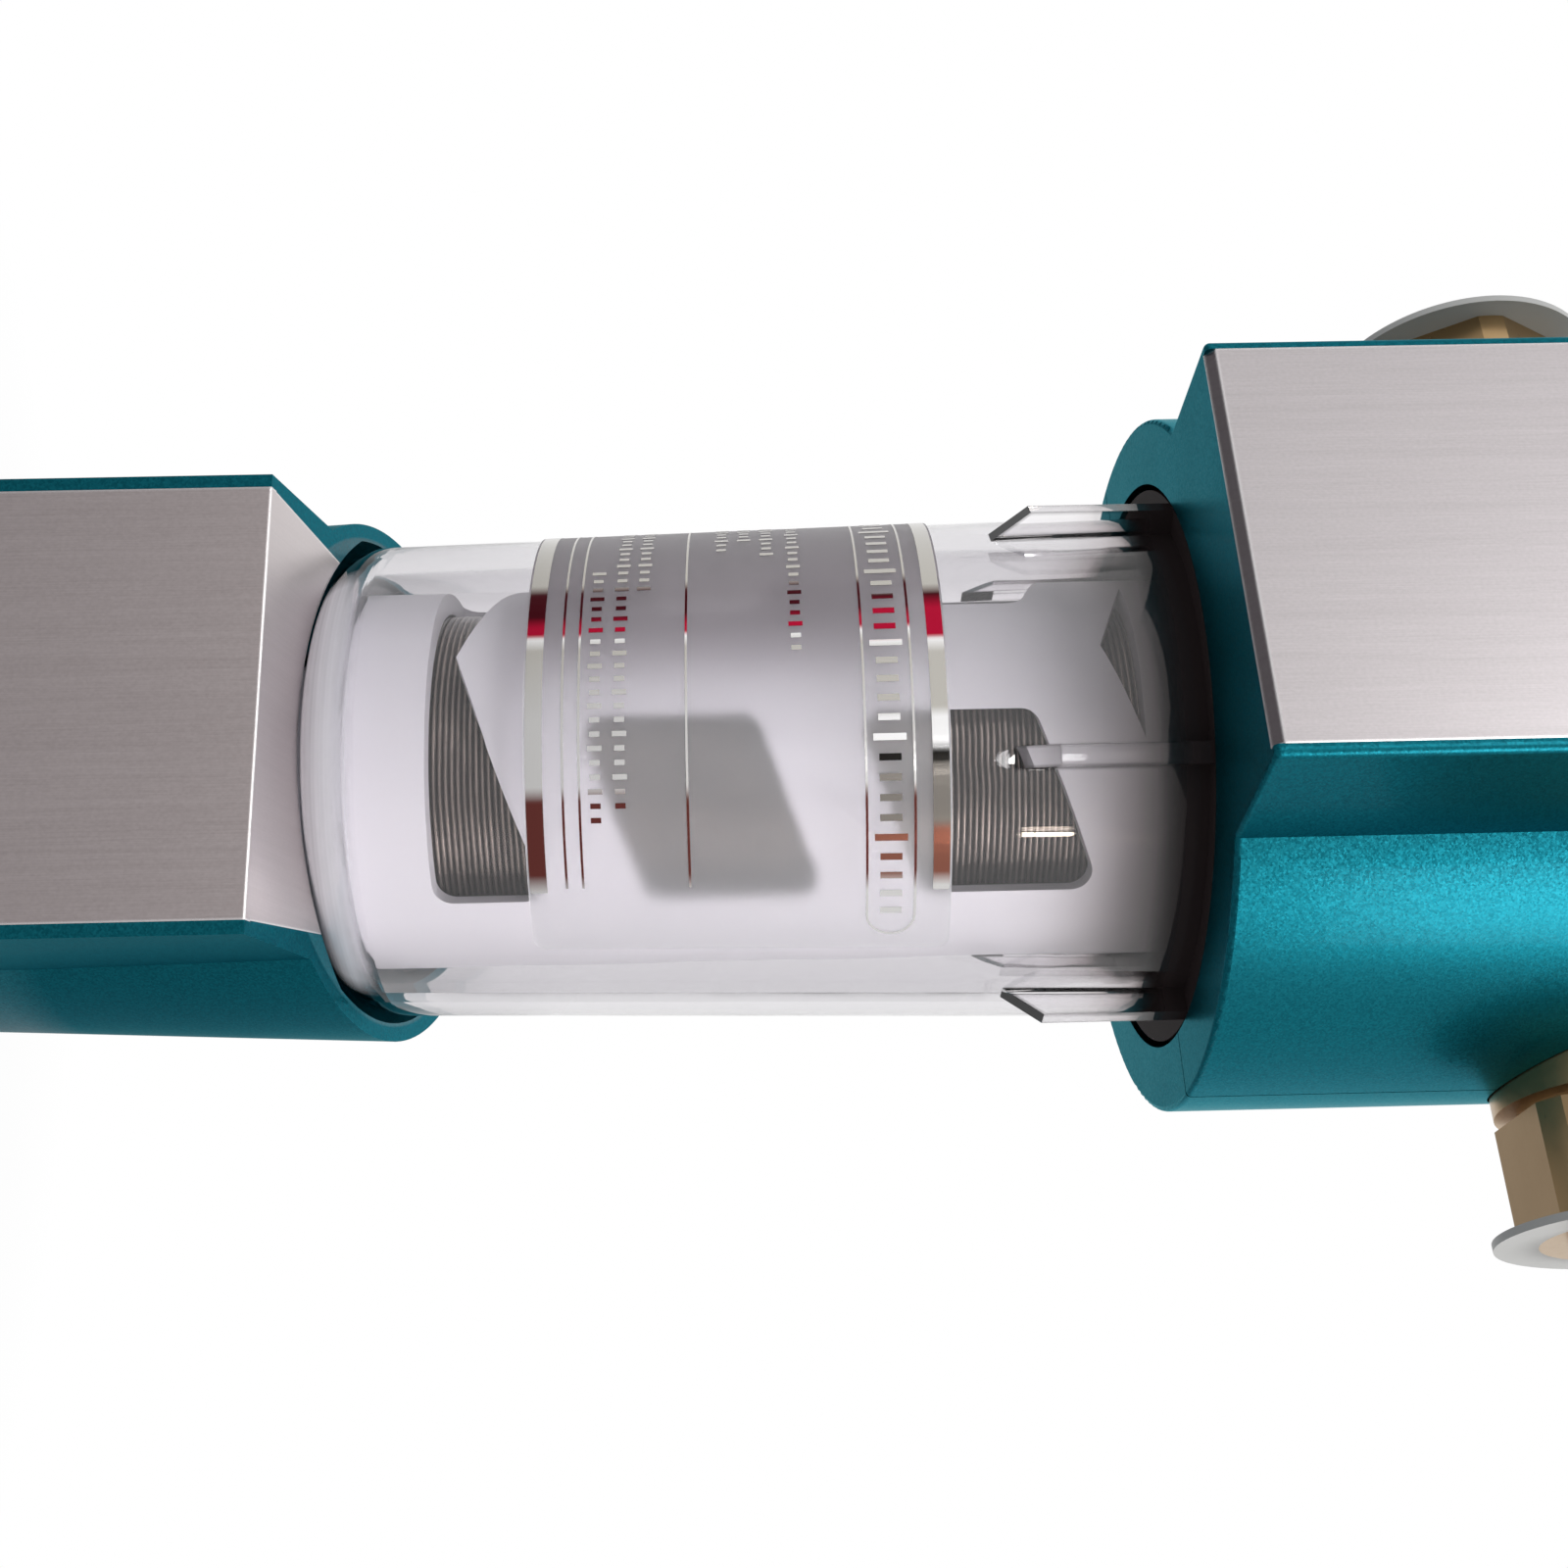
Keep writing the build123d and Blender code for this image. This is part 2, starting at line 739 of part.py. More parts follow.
# Base plate: a bent sheet, the front panel and the slanted top flange
with BuildPart() as base_flange:
    with BuildSketch(base_level(ridge_z)):
        with BuildLine():
            Polyline(
                (-base_plate_half, -base_front),
                (base_plate_half, -base_front),
                (base_plate_back_half, -base_plate_back),
                (-base_plate_back_half, -base_plate_back),
                close=True,
            )
        make_face()
        with Locations((0, base_plate_arc_y)):
            Circle(base_plate_arc_r, mode=Mode.SUBTRACT)
    extrude(amount=base_front / 2, both=True)
    split(bisect_by=deck_plane(0), keep=Keep.BOTTOM)
    split(bisect_by=deck_plane(base_plate_t), keep=Keep.TOP)

with BuildPart() as base_front_plate:
    with BuildSketch(base_level(base_bottom_z + base_plate_low_gap)):
        with Locations((0, -base_front + base_plate_t / 2)):
            Rectangle(2 * base_plate_half, base_plate_t)
    extrude(amount=ridge_z)
    split(bisect_by=deck_plane(0), keep=Keep.BOTTOM)
    add(base_flange.part)
base_front_plate.part.label = "base_front_plate"

# Base shell: a tapered round body with a block in front, cut off by the slanted deck
base_taper = base_draft / (ridge_z - base_bottom_z)
block_depth = base_front - cup_stub_r
top_reach_z = ridge_z + base_front


def base_round(inset, low_z, high_z):
    """Half section of the base's tapered round body, drawn in by inset."""
    with BuildSketch(Plane.XZ) as section:
        with BuildLine():
            Polyline(
                (0, low_z),
                (base_low_r - inset + base_taper * (low_z - base_bottom_z), low_z),
                (base_low_r - inset + base_taper * (high_z - base_bottom_z), high_z),
                (0, high_z),
                close=True,
            )
        make_face()
    return section.sketch


def base_block(side_inset, front_inset, low_z):
    """Level section of the block in front of the base, drawn in at its sides and front."""
    with BuildSketch(base_level(low_z)) as section:
        with Locations((0, -base_front + front_inset)):
            Rectangle(2 * (base_half - side_inset), block_depth, align=(Align.CENTER, Align.MIN))
    return section.sketch


with BuildPart() as base_upper_room:
    revolve(base_round(base_wall, web_top_z, top_reach_z), axis=Axis.Z)
    extrude(base_block(base_wall, base_front_wall, web_top_z), amount=top_reach_z - web_top_z)
    split(bisect_by=deck_plane(deck_t), keep=Keep.BOTTOM)

with BuildPart() as base_mouth:
    with BuildSketch(base_level(web_top_z)):
        Circle(base_open_r)
        with Locations((0, base_plate_arc_y)):
            Circle(base_plate_arc_r, mode=Mode.INTERSECT)
    extrude(amount=top_reach_z - web_top_z)
    split(bisect_by=deck_plane(deck_t + 1), keep=Keep.TOP)

with BuildPart() as base_shell:
    revolve(base_round(0, base_bottom_z, top_reach_z), axis=Axis.Z)
    extrude(base_block(0, 0, base_bottom_z), amount=top_reach_z - base_bottom_z)
    split(bisect_by=deck_plane(0), keep=Keep.BOTTOM)
    fillet(base_shell.faces().sort_by(Axis.Z)[0].edges(), shell_edge_r)
    add(base_upper_room.part, mode=Mode.SUBTRACT)
    add(base_mouth.part, mode=Mode.SUBTRACT)
    with BuildSketch(base_level(base_bottom_z)):
        Circle(base_low_r - base_wall)
    extrude(amount=web_z - base_bottom_z, mode=Mode.SUBTRACT)
    low_block = base_block(base_wall, base_front_wall, base_bottom_z)
    extrude(low_block, amount=web_z - base_bottom_z, mode=Mode.SUBTRACT)
    with BuildSketch(base_level(web_z)):
        Circle(cup_drain_r + web_hole_gap)
    extrude(amount=web_t, mode=Mode.SUBTRACT)
    add(base_front_plate.part, mode=Mode.SUBTRACT)
base_shell.part.label = "base_shell"

# Drain valve body: flange and spigot above, ball chamber below, stem boss in front
chamber_r = ball_r + ball_room
valve_r = chamber_r + valve_wall
valve_flange_r = valve_r + valve_flange_out
valve_bottom_z = ball_z - valve_below
packing_r = stem_r + packing_w
stem_boss_y = valve_r + stem_boss_out
flange_top_z = web_z - valve_gasket_t
seat_top_z = ball_z + ball_r + seat_margin
seat_low_z = ball_z - ball_r - seat_margin

with BuildPart() as valve_body:
    with BuildSketch(Plane.XY.offset(valve_bottom_z)):
        Circle(valve_r)
    extrude(amount=flange_top_z - valve_bottom_z)
    with BuildSketch(Plane.XY.offset(flange_top_z - valve_flange_t)):
        Circle(valve_flange_r)
    extrude(amount=valve_flange_t)
    with BuildSketch(Plane.XY.offset(flange_top_z)):
        Circle(cup_drain_r - spigot_gap)
    extrude(amount=spigot_len)
    with BuildSketch(stem_level(0)):
        Circle(packing_r + stem_boss_wall)
    extrude(amount=stem_boss_y)
    with BuildSketch(Plane.XY.offset(valve_bottom_z)):
        Circle(chamber_r)
    extrude(amount=seat_top_z - valve_bottom_z, mode=Mode.SUBTRACT)
    with BuildSketch(Plane.XY.offset(valve_bottom_z)):
        Circle(ball_bore_r)
    extrude(amount=flange_top_z + spigot_len - valve_bottom_z, mode=Mode.SUBTRACT)
    with BuildSketch(stem_level(0)):
        Circle(stem_r + stem_gap)
    extrude(amount=stem_boss_y, mode=Mode.SUBTRACT)
    with BuildSketch(stem_level(stem_boss_y - packing_len)):
        Circle(packing_r)
    extrude(amount=packing_len, mode=Mode.SUBTRACT)
valve_body.part.label = "valve_body"

with BuildPart() as valve_gasket:
    with BuildSketch(Plane.XY.offset(flange_top_z)):
        Circle(valve_flange_r)
        Circle(cup_drain_r + web_hole_gap, mode=Mode.SUBTRACT)
    extrude(amount=valve_gasket_t)
valve_gasket.part.label = "valve_gasket"

with BuildPart() as valve_ball:
    with Locations((0, 0, ball_z)):
        Sphere(ball_r)
    with BuildSketch(Plane(origin=(0, 0, ball_z), x_dir=(0, 0, 1), z_dir=base_plane.x_dir)):
        Circle(ball_bore_r)
    extrude(amount=ball_r, both=True, mode=Mode.SUBTRACT)
    with BuildSketch(stem_level(ball_r - tang_depth)):
        Rectangle(2 * ball_r, tang_t)
    extrude(amount=tang_depth, mode=Mode.SUBTRACT)
valve_ball.part.label = "valve_ball"

with BuildPart() as valve_upper_seat:
    with BuildSketch(Plane.XY.offset(seat_top_z - seat_h)):
        Circle(chamber_r - seat_gap)
        Circle(ball_bore_r, mode=Mode.SUBTRACT)
    extrude(amount=seat_h)
    with Locations((0, 0, ball_z)):
        Sphere(ball_r + seat_gap, mode=Mode.SUBTRACT)
valve_upper_seat.part.label = "valve_upper_seat"

with BuildPart() as valve_lower_seat:
    mirror(valve_upper_seat.part, about=Plane.XY.offset(ball_z))
valve_lower_seat.part.label = "valve_lower_seat"

# Stem: tang in the ball's slot, shaft through the packing, threaded end through the lever
lever_y = stem_boss_y + lever_gap
stem_end_y = lever_y + lever_t + lever_nut_t + stem_tip
lever_hole_r = stem_r - stem_step

with BuildPart() as valve_stem:
    with BuildSketch(stem_level(ball_r)):
        Circle(stem_r)
    extrude(amount=lever_y - ball_r)
    with BuildSketch(stem_level(lever_y)):
        Circle(lever_hole_r)
    extrude(amount=stem_end_y - lever_y)
    with BuildSketch(stem_level(ball_r - tang_depth)):
        Rectangle(2 * stem_r, tang_t)
        Circle(stem_r, mode=Mode.INTERSECT)
    extrude(amount=tang_depth)
valve_stem.part.label = "valve_stem"

with BuildPart() as stem_packing:
    with BuildSketch(stem_level(stem_boss_y - packing_len)):
        Circle(packing_r)
        Circle(stem_r + stem_gap / 2, mode=Mode.SUBTRACT)
    extrude(amount=packing_len)
stem_packing.part.label = "stem_packing"


def lever_outline():
    """The lever's flat outline: a round hub and an arm with a round end."""
    Circle(lever_hub_r)
    with Locations((lever_len / 2, 0)):
        Rectangle(lever_len, lever_w)
    with Locations((lever_len, 0)):
        Circle(lever_w / 2)


with BuildPart() as drain_lever:
    with BuildSketch(stem_level(lever_y)):
        lever_outline()
        Circle(lever_hole_r, mode=Mode.SUBTRACT)
    extrude(amount=lever_t)
drain_lever.part.label = "drain_lever"

grip_start = lever_len + lever_w / 2 + grip_wall - grip_len
with BuildPart() as lever_grip:
    with BuildSketch(stem_level(lever_y - grip_wall)):
        lever_outline()
        offset(amount=grip_wall)
        with Locations((grip_start, 0)):
            Rectangle(2 * lever_len, 4 * lever_w, align=(Align.MAX, Align.CENTER), mode=Mode.SUBTRACT)
    extrude(amount=lever_t + 2 * grip_wall)
    fillet(lever_grip.faces().filter_by(stem_level(0)).edges(), grip_edge_r)
    add(drain_lever.part, mode=Mode.SUBTRACT)
lever_grip.part.label = "lever_grip"

with BuildPart() as lever_nut:
    with BuildSketch(stem_level(lever_y + lever_t)):
        RegularPolygon(lever_nut_flats / 2, 6, major_radius=False)
        Circle(lever_hole_r, mode=Mode.SUBTRACT)
    extrude(amount=lever_nut_t)
lever_nut.part.label = "lever_nut"

# Drain spout: threaded plug, hex, and a plain end for a hose
hex_top_z = valve_bottom_z - spout_gasket_t
spout_len = hex_top_z - spout_hex_len
with BuildPart() as drain_spout:
    with BuildSketch(Plane.XY.offset(hex_top_z)):
        Circle(chamber_r)
    extrude(amount=seat_low_z - hex_top_z)
    with BuildSketch(Plane.XY.offset(spout_len)):
        RegularPolygon(spout_hex_flats / 2, 6, major_radius=False)
    extrude(amount=spout_hex_len)
    with BuildSketch(Plane.XY):
        Circle(spout_r)
    extrude(amount=spout_len)
    with BuildSketch(Plane.XY):
        Circle(spout_bore_r)
    extrude(amount=seat_low_z, mode=Mode.SUBTRACT)
drain_spout.part.label = "drain_spout"

with BuildPart() as spout_gasket:
    with BuildSketch(Plane.XY.offset(hex_top_z)):
        Circle(spout_hex_flats / 2)
        Circle(chamber_r, mode=Mode.SUBTRACT)
    extrude(amount=spout_gasket_t)
spout_gasket.part.label = "spout_gasket"

for piece in (
    head_front_shell,
    head_rear_shell,
    head_front_plate,
    head_screws,
    cup_socket,
    pipe_tee,
    inlet_nut,
    outlet_nut,
    inlet_nut_ring,
    outlet_nut_ring,
    inlet_gasket,
    outlet_gasket,
    inlet_tail,
    outlet_tail,
    cup,
    cup_o_ring,
    filter_cage,
    cage_seal,
    screen,
    screen_lower_cap,
    screen_upper_cap,
    label,
    base_shell,
    base_front_plate,
    valve_body,
    valve_gasket,
    valve_ball,
    valve_upper_seat,
    valve_lower_seat,
    valve_stem,
    stem_packing,
    drain_lever,
    lever_grip,
    lever_nut,
    drain_spout,
    spout_gasket,
):
    export_step(piece.part, f"parts/{piece.part.label}.step")
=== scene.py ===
from math import cos, pi, radians, sin

import bpy
from mathutils import Matrix, Vector


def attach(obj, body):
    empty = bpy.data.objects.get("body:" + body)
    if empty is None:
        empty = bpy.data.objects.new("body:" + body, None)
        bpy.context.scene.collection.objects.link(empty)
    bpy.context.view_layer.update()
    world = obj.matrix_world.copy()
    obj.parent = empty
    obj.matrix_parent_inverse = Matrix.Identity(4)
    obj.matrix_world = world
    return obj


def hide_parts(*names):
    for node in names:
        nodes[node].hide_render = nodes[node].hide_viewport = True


# Looks of the spin-down sediment filter. Lengths are in millimetres until they reach a mesh.
# An angle round the cup axis is counted in degrees from the front (-Y), with +X positive.

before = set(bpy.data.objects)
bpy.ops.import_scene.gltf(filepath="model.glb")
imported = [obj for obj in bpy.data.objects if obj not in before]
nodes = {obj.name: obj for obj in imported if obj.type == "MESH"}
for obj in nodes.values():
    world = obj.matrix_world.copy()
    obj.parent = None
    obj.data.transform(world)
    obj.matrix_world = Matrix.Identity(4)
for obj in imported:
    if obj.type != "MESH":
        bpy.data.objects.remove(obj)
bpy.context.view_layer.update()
MM = 0.001

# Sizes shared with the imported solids
BASE_TURN = 10.8
CUP_LOW_R = 38.7
CUP_LOW_Z = 111.4
CUP_TAPER = 0.02337
LABEL_OUT = 0.33
SCREEN_LOW_Z = 114.7
SCREEN_HIGH_Z = 238.0
SCREEN_R = 27.2
SOCKET_R = 40.2
FOOT_MIDDLE = 27.0
FOOT_REACH = 52.0
WIRE_PITCH = 0.93
WIRE_R = 0.38


def cup_radius(z):
    """Outer radius of the tapered cup at a height."""
    return CUP_LOW_R + CUP_TAPER * (z - CUP_LOW_Z)


# Node helpers

def new_material(name):
    """An empty node material and its tree."""
    material = bpy.data.materials.new(name)
    material.use_nodes = True
    material.node_tree.nodes.clear()
    return material, material.node_tree


def add_node(tree, kind, settings=None, **inputs):
    """A node with its settings and its unlinked input values. Input names use _ for a space."""
    node = tree.nodes.new(kind)
    for key, value in (settings or {}).items():
        setattr(node, key, value)
    for key, value in inputs.items():
        node.inputs[key.replace("_", " ")].default_value = value
    return node


def wire(tree, source, target):
    tree.links.new(source, target)


def combine(tree, operation, first, second):
    """Two values, each a socket or a number, put together by a math operation."""
    node = add_node(tree, "ShaderNodeMath", {"operation": operation})
    for slot, value in enumerate((first, second)):
        if isinstance(value, (int, float)):
            node.inputs[slot].default_value = value
        else:
            wire(tree, value, node.inputs[slot])
    return node.outputs["Value"]


def object_coords(tree, scale, turn=0.0):
    """Row-frame coordinates in metres, turned about Z by degrees and scaled."""
    coords = add_node(tree, "ShaderNodeTexCoord")
    turned = add_node(tree, "ShaderNodeMapping", Rotation=(0, 0, radians(-turn)))
    scaled = add_node(tree, "ShaderNodeMapping", Scale=scale)
    wire(tree, coords.outputs["Object"], turned.inputs["Vector"])
    wire(tree, turned.outputs["Vector"], scaled.inputs["Vector"])
    return scaled.outputs["Vector"]


def noise(tree, vector, detail=3.0, roughness=0.5):
    texture = add_node(tree, "ShaderNodeTexNoise", Scale=1.0, Detail=detail, Roughness=roughness)
    wire(tree, vector, texture.inputs["Vector"])
    return texture.outputs["Fac"]


def spread(tree, value, low, high, from_low=0.0, from_high=1.0):
    """Map a value to a range."""
    mapped = add_node(tree, "ShaderNodeMapRange")
    mapped.inputs["From Min"].default_value = from_low
    mapped.inputs["From Max"].default_value = from_high
    mapped.inputs["To Min"].default_value = low
    mapped.inputs["To Max"].default_value = high
    wire(tree, value, mapped.inputs["Value"])
    return mapped.outputs["Result"]


def two_colors(tree, factor, first, second):
    """A colour between two, by a factor."""
    mix = add_node(tree, "ShaderNodeMix", {"data_type": "RGBA"})
    mix.inputs["A"].default_value = (*first, 1)
    mix.inputs["B"].default_value = (*second, 1)
    mix.inputs[6].default_value = (*first, 1)
    mix.inputs[7].default_value = (*second, 1)
    wire(tree, factor, mix.inputs["Factor"])
    return mix.outputs[2]


def ramp_colors(tree, value, stops):
    """A colour from stops of (place, colour), with the places in the value's own unit."""
    low = stops[0][0]
    high = stops[-1][0]
    ramp = add_node(tree, "ShaderNodeValToRGB")
    while len(ramp.color_ramp.elements) < len(stops):
        ramp.color_ramp.elements.new(0.5)
    for element, (place, color) in zip(ramp.color_ramp.elements, stops):
        element.position = (place - low) / (high - low)
        element.color = (*color, 1)
    wire(tree, spread(tree, value, 0.0, 1.0, low, high), ramp.inputs["Fac"])
    return ramp.outputs["Color"]


def height_in_mm(tree):
    """The height on the part in millimetres."""
    coords = add_node(tree, "ShaderNodeTexCoord")
    parts = add_node(tree, "ShaderNodeSeparateXYZ")
    wire(tree, coords.outputs["Object"], parts.inputs["Vector"])
    return combine(tree, "DIVIDE", parts.outputs["Z"], MM)


def angle_in_degrees(tree):
    """The angle round the cup axis in degrees from the front."""
    coords = add_node(tree, "ShaderNodeTexCoord")
    parts = add_node(tree, "ShaderNodeSeparateXYZ")
    wire(tree, coords.outputs["Object"], parts.inputs["Vector"])
    forward = combine(tree, "MULTIPLY", parts.outputs["Y"], -1.0)
    return combine(tree, "MULTIPLY", combine(tree, "ARCTAN2", parts.outputs["X"], forward), 180 / pi)


def multiply_colors(tree, first, second):
    """Two linked colours multiplied."""
    product = add_node(tree, "ShaderNodeMix", {"data_type": "RGBA", "blend_type": "MULTIPLY"}, Factor=1.0)
    wire(tree, first, product.inputs[6])
    wire(tree, second, product.inputs[7])
    return product.outputs[2]


def bump(tree, height, strength, distance):
    relief = add_node(tree, "ShaderNodeBump", Strength=strength, Distance=distance)
    wire(tree, height, relief.inputs["Height"])
    return relief.outputs["Normal"]


def finish_material(tree, shader):
    output = add_node(tree, "ShaderNodeOutputMaterial")
    wire(tree, shader, output.inputs["Surface"])


def teal_paint():
    """Metallic teal paint with fine flakes under a clear coat."""
    material, tree = new_material("teal_paint")
    shader = add_node(
        tree, "ShaderNodeBsdfPrincipled", Metallic=0.85, Roughness=0.34, Specular_IOR_Level=0.3,
        Specular_Tint=(0.10, 0.75, 0.85, 1), Coat_Weight=0.03, Coat_Roughness=0.1
    )
    flakes = add_node(tree, "ShaderNodeTexVoronoi", Scale=1.0)
    wire(tree, object_coords(tree, (3600, 3600, 3600)), flakes.inputs["Vector"])
    level = add_node(tree, "ShaderNodeSeparateColor")
    wire(tree, flakes.outputs["Color"], level.inputs["Color"])
    cloud = noise(tree, object_coords(tree, (60, 60, 60)), 2.0)
    paint = two_colors(tree, level.outputs["Red"], (0.002, 0.080, 0.108), (0.006, 0.128, 0.165))
    wire(tree, paint, shader.inputs["Base Color"])
    wire(tree, spread(tree, cloud, 0.31, 0.37), shader.inputs["Roughness"])
    coords = add_node(tree, "ShaderNodeTexCoord")
    flat = add_node(tree, "ShaderNodeVectorMath", {"operation": "MULTIPLY"})
    flat.inputs[1].default_value = (1, 1, 0)
    wire(tree, coords.outputs["Object"], flat.inputs[0])
    reach = add_node(tree, "ShaderNodeVectorMath", {"operation": "LENGTH"})
    wire(tree, flat.outputs["Vector"], reach.inputs[0])
    wire(tree, spread(tree, reach.outputs["Value"], 0.1, 0.85, SOCKET_R * MM, (SOCKET_R + 0.4) * MM), shader.inputs["Metallic"])
    tilt = add_node(tree, "ShaderNodeVectorMath", {"operation": "SUBTRACT"})
    wire(tree, flakes.outputs["Color"], tilt.inputs[0])
    tilt.inputs[1].default_value = (0.5, 0.5, 0.5)
    small = add_node(tree, "ShaderNodeVectorMath", {"operation": "SCALE"}, Scale=0.07)
    wire(tree, tilt.outputs["Vector"], small.inputs[0])
    geometry = add_node(tree, "ShaderNodeNewGeometry")
    tilted = add_node(tree, "ShaderNodeVectorMath", {"operation": "ADD"})
    wire(tree, geometry.outputs["Normal"], tilted.inputs[0])
    wire(tree, small.outputs["Vector"], tilted.inputs[1])
    unit = add_node(tree, "ShaderNodeVectorMath", {"operation": "NORMALIZE"})
    wire(tree, tilted.outputs["Vector"], unit.inputs[0])
    wire(tree, unit.outputs["Vector"], shader.inputs["Normal"])
    finish_material(tree, shader.outputs["BSDF"])
    return material


def brushed_metal(name, dark, bright, turn, roughness, line_scale=7000.0):
    """Metal brushed along Z, with fine lines across X of a turned frame and a rounded bend; painted shade on faces
    that look down, painted light on faces that look up and a painted highlight along the bend and edges.
    """
    material, tree = new_material(name)
    shader = add_node(tree, "ShaderNodeBsdfPrincipled", Metallic=0.9, Roughness=roughness, Anisotropic=0.4)
    fine = noise(tree, object_coords(tree, (line_scale, 60, 70), turn), 3.0, 0.7)
    broad = noise(tree, object_coords(tree, (line_scale / 9, 10, 14), turn), 2.0, 0.6)
    grain = noise(tree, object_coords(tree, (2600, 2600, 1800), turn), 2.0)
    lines = combine(tree, "ADD", spread(tree, fine, 0.0, 0.5, 0.25, 0.75), spread(tree, broad, 0.0, 0.2, 0.3, 0.7))
    streaks = combine(tree, "ADD", lines, spread(tree, grain, 0.0, 0.3, 0.3, 0.7))
    brushed = two_colors(tree, streaks, dark, bright)
    geometry = add_node(tree, "ShaderNodeNewGeometry")
    facing = add_node(tree, "ShaderNodeSeparateXYZ")
    wire(tree, geometry.outputs["True Normal"], facing.inputs["Vector"])
    # Painted shade: faces that look down are darkened.
    shade = add_node(tree, "ShaderNodeMix", {"data_type": "RGBA", "blend_type": "MULTIPLY"})
    shade.inputs[7].default_value = (0.36, 0.34, 0.35, 1)
    wire(tree, spread(tree, facing.outputs["Z"], 1.0, 0.0, -0.55, -0.35), shade.inputs["Factor"])
    wire(tree, brushed, shade.inputs[6])
    # Painted light: faces that look up are paled.
    lit = add_node(tree, "ShaderNodeMix", {"data_type": "RGBA"})
    lit.inputs[7].default_value = (0.82, 0.78, 0.79, 1)
    wire(tree, spread(tree, facing.outputs["Z"], 0.0, 0.42, 0.08, 0.25), lit.inputs["Factor"])
    wire(tree, shade.outputs[2], lit.inputs[6])
    rounded = add_node(tree, "ShaderNodeBevel", {"samples": 6}, Radius=0.0006)
    turn = add_node(tree, "ShaderNodeVectorMath", {"operation": "DOT_PRODUCT"})
    wire(tree, rounded.outputs["Normal"], turn.inputs[0])
    wire(tree, geometry.outputs["True Normal"], turn.inputs[1])
    # Painted highlight: a pale line along the rounded bend and edges.
    edge_highlight = add_node(tree, "ShaderNodeMix", {"data_type": "RGBA"})
    edge_highlight.inputs[7].default_value = (0.95, 0.92, 0.92, 1)
    wire(tree, spread(tree, turn.outputs["Value"], 0.85, 0.0, 0.97, 0.995), edge_highlight.inputs["Factor"])
    wire(tree, lit.outputs[2], edge_highlight.inputs[6])
    wire(tree, edge_highlight.outputs[2], shader.inputs["Base Color"])
    wire(tree, spread(tree, grain, roughness - 0.04, roughness + 0.04), shader.inputs["Roughness"])
    relief = add_node(tree, "ShaderNodeBump", Strength=0.2, Distance=0.00004)
    wire(tree, fine, relief.inputs["Height"])
    wire(tree, rounded.outputs["Normal"], relief.inputs["Normal"])
    wire(tree, relief.outputs["Normal"], shader.inputs["Normal"])
    finish_material(tree, shader.outputs["BSDF"])
    return material


def plain_material(name, dark, bright, roughness, metallic=0.0, scale=400.0, relief=0.00002, coat=0.0):
    """A moulded or turned surface with slight colour and gloss variation."""
    material, tree = new_material(name)
    shader = add_node(
        tree, "ShaderNodeBsdfPrincipled", Metallic=metallic, Roughness=roughness, Coat_Weight=coat
    )
    mottle = noise(tree, object_coords(tree, (scale, scale, scale)), 4.0, 0.6)
    slow = noise(tree, object_coords(tree, (scale / 12, scale / 12, scale / 12)), 2.0)
    wire(tree, two_colors(tree, slow, dark, bright), shader.inputs["Base Color"])
    wire(tree, spread(tree, mottle, roughness - 0.06, roughness + 0.06), shader.inputs["Roughness"])
    wire(tree, bump(tree, mottle, 0.3, relief), shader.inputs["Normal"])
    finish_material(tree, shader.outputs["BSDF"])
    return material


def pass_shadows(tree, surface, tint):
    """Let shadow rays through a surface, so that what is behind it is lit."""
    clear = add_node(tree, "ShaderNodeBsdfTransparent")
    wire(tree, tint, clear.inputs["Color"])
    path = add_node(tree, "ShaderNodeLightPath")
    mix = add_node(tree, "ShaderNodeMixShader")
    wire(tree, path.outputs["Is Shadow Ray"], mix.inputs["Fac"])
    wire(tree, surface, mix.inputs[1])
    wire(tree, clear.outputs["BSDF"], mix.inputs[2])
    return mix.outputs["Shader"]


CLEAR = (0.94, 0.925, 0.945)
# Painted shade: the cup darkens towards the head.
HEAD_SHADE_STOPS = (
    (100, CLEAR), (210, CLEAR), (220, (0.90, 0.88, 0.895)), (225, (0.76, 0.725, 0.735)), (229, (0.46, 0.415, 0.415)),
    (233, (0.22, 0.18, 0.17)), (237, (0.11, 0.082, 0.078)), (250, (0.09, 0.066, 0.062)),
)
# Painted shade where the cup is seen at a slant.
SLANT_TINT = (0.62, 0.615, 0.63)
# Painted shade at the cup's rounded edges.
EDGE_SHADE = (0.03, 0.026, 0.028)


